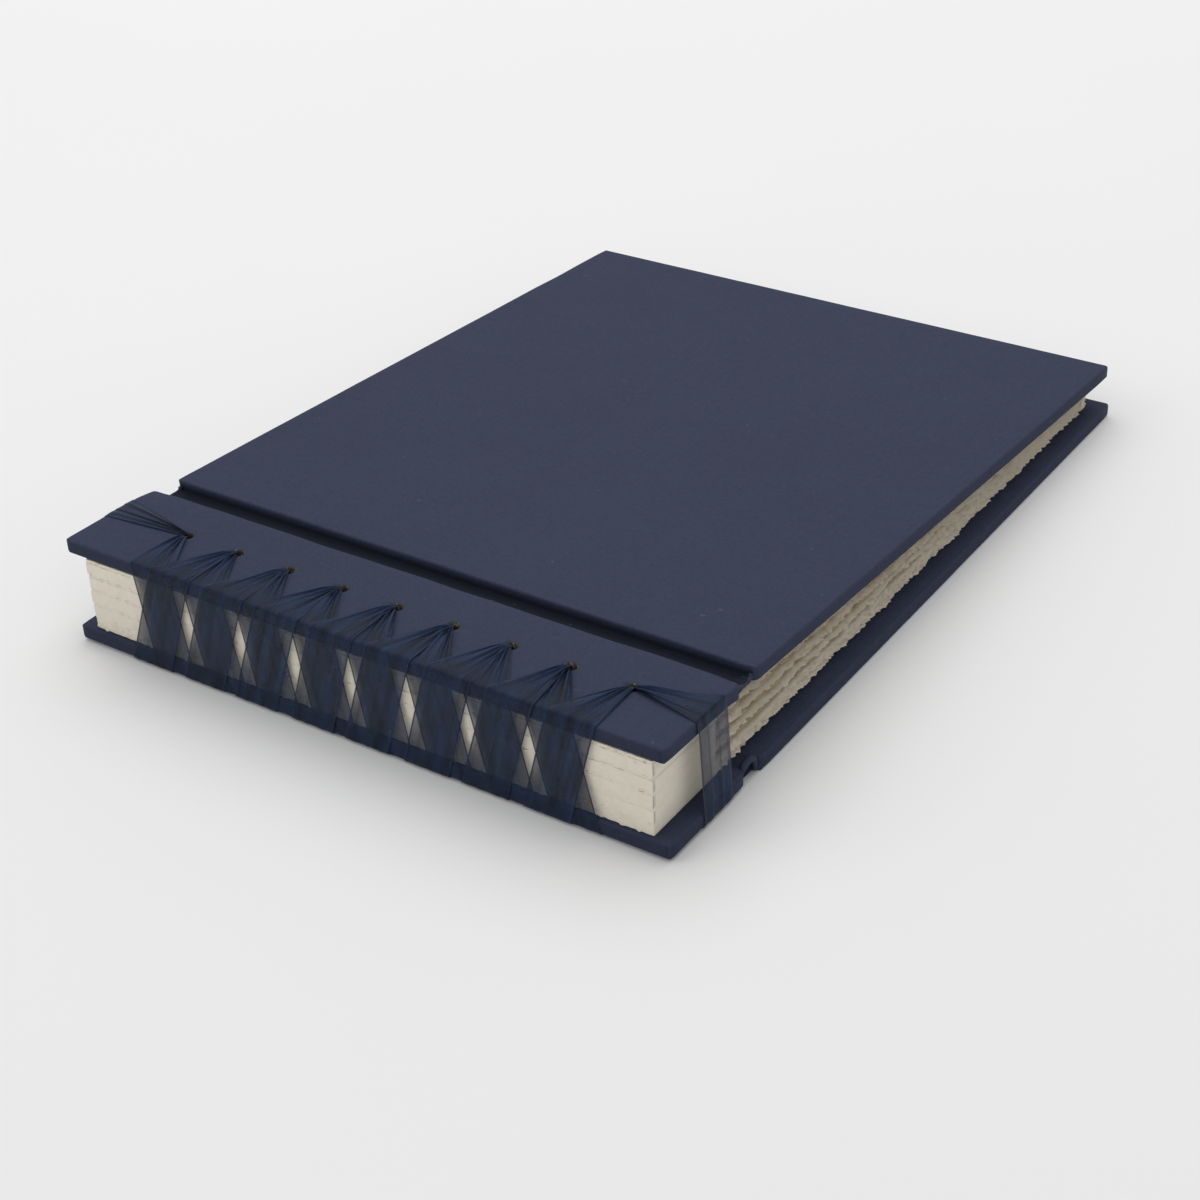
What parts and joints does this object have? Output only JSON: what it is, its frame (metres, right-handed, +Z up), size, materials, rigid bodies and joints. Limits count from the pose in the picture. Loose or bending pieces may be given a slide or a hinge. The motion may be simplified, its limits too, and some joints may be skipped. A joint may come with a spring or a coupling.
{
  "type": "ribbon-laced notebook",
  "caption": "Closed hand-bound notebook with cloth-covered split boards, a stack of rough-edged leaves thick at the spine, and a sheer ribbon laced through the spine.",
  "frame": {"origin": "under the middle of the closed book, on the surface that it lies on", "axes": "+X along the spine from head to tail, +Y from the spine to the fore-edge, +Z up, from the back cover to the front cover"},
  "size_m": [0.1566, 0.2166, 0.0266],
  "materials": {
    "bookcloth": "matt navy bookcloth, fine plain weave",
    "greyboard": "raw brown-grey bookbinding board, seen only inside the holes",
    "lining_paper": "matt cream pasted lining",
    "leaf_paper": "matt cream handmade paper with rough edges",
    "guard_paper": "matt cream thick paper guards, cut clean at head and tail",
    "ribbon": "sheer navy ribbon with a soft sheen and firmer edges"
  },
  "bodies": {
    "spine": {"front_spine_cloth": "bookcloth", "front_spine_board": "greyboard", "front_spine_lining": "lining_paper", "front_hinge_cloth": "bookcloth", "back_spine_cloth": "bookcloth", "back_spine_board": "greyboard", "back_spine_lining": "lining_paper", "back_hinge_cloth": "bookcloth", "bound_leaves_1": "leaf_paper", "bound_leaves_2": "leaf_paper", "bound_leaves_3": "leaf_paper", "bound_leaves_4": "leaf_paper", "bound_leaves_5": "leaf_paper", "guard_1": "guard_paper", "guard_2": "guard_paper", "guard_3": "guard_paper", "guard_4": "guard_paper", "ribbon_forward_run": "ribbon", "ribbon_return_run": "ribbon", "ribbon_head_wrap": "ribbon", "ribbon_tail_wrap": "ribbon"},
    "front_cover": {"front_main_cloth": "bookcloth", "front_main_board": "greyboard", "front_main_lining": "lining_paper"},
    "back_cover": {"back_main_cloth": "bookcloth", "back_main_board": "greyboard", "back_main_lining": "lining_paper"},
    "leaves_1": {"free_leaves_1": "leaf_paper"},
    "leaves_2": {"free_leaves_2": "leaf_paper"},
    "leaves_3": {"free_leaves_3": "leaf_paper"},
    "leaves_4": {"free_leaves_4": "leaf_paper"},
    "leaves_5": {"free_leaves_5": "leaf_paper"}
  },
  "joints": [
    {"name": "front_cover_hinge", "type": "hinge", "parent": "spine", "child": "front_cover", "pos_m": [0, -0.0761, 0.02495], "axis": [1, 0, 0], "range_deg": [0, 165], "deforming": ["front_hinge_cloth"]},
    {"name": "back_cover_hinge", "type": "hinge", "parent": "spine", "child": "back_cover", "pos_m": [0, -0.0761, 0.0003], "axis": [-1, 0, 0], "range_deg": [0, 165], "deforming": ["back_hinge_cloth"]},
    {"name": "leaf_fold_1", "type": "hinge", "parent": "spine", "child": "leaves_1", "pos_m": [0, -0.0783, 0.0072], "axis": [1, 0, 0], "range_deg": [0, 13.3]},
    {"name": "leaf_fold_2", "type": "hinge", "parent": "spine", "child": "leaves_2", "pos_m": [0, -0.0783, 0.01072], "axis": [1, 0, 0], "range_deg": [0, 29.8]},
    {"name": "leaf_fold_3", "type": "hinge", "parent": "spine", "child": "leaves_3", "pos_m": [0, -0.0783, 0.01424], "axis": [1, 0, 0], "range_deg": [0, 46.3]},
    {"name": "leaf_fold_4", "type": "hinge", "parent": "spine", "child": "leaves_4", "pos_m": [0, -0.0783, 0.01775], "axis": [1, 0, 0], "range_deg": [0, 62.8]},
    {"name": "leaf_fold_5", "type": "hinge", "parent": "spine", "child": "leaves_5", "pos_m": [0, -0.0783, 0.02127], "axis": [1, 0, 0], "range_deg": [0, 79.3]}
  ],
  "couplings": [
    {"joint": "leaf_fold_1", "follows": "front_cover_hinge", "ratio": 0.08},
    {"joint": "leaf_fold_2", "follows": "front_cover_hinge", "ratio": 0.18},
    {"joint": "leaf_fold_3", "follows": "front_cover_hinge", "ratio": 0.28},
    {"joint": "leaf_fold_4", "follows": "front_cover_hinge", "ratio": 0.38},
    {"joint": "leaf_fold_5", "follows": "front_cover_hinge", "ratio": 0.48}
  ]
}
